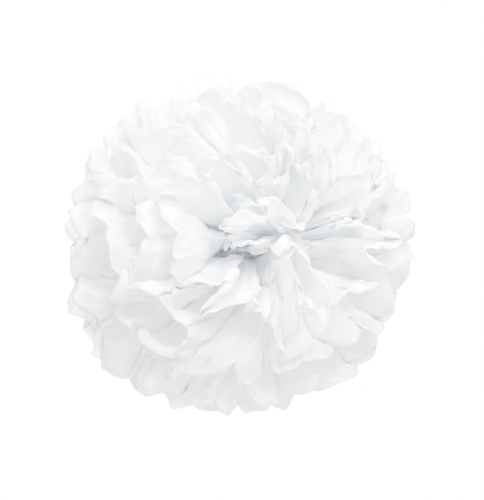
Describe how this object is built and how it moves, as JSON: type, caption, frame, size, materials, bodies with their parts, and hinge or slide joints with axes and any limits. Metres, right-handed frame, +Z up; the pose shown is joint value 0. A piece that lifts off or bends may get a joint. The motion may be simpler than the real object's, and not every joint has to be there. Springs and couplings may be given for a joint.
{
  "type": "tissue paper pom pom",
  "caption": "Round tissue paper pom pom of pleated sheets with scalloped ends, tied across the middle with wire and pulled open into a ball.",
  "frame": {"origin": "middle of the wire tie, which is the middle of the ball", "axes": "+Z up along the tie's twisted wire ends, towards the hanging point; -Y out of the flower's face that the picture shows; the sheets' two halves open to -X and +X"},
  "size_m": [0.4069, 0.4165, 0.4028],
  "materials": {
    "tissue": "matte white tissue paper, thin enough to let light through",
    "wire": "plain bright wire"
  },
  "bodies": {
    "root": {"sheet_01": "tissue", "sheet_02": "tissue", "sheet_03": "tissue", "sheet_04": "tissue", "sheet_05": "tissue", "sheet_06": "tissue", "sheet_07": "tissue", "sheet_08": "tissue", "sheet_09": "tissue", "sheet_10": "tissue", "tie_wire": "wire"}
  },
  "joints": []
}
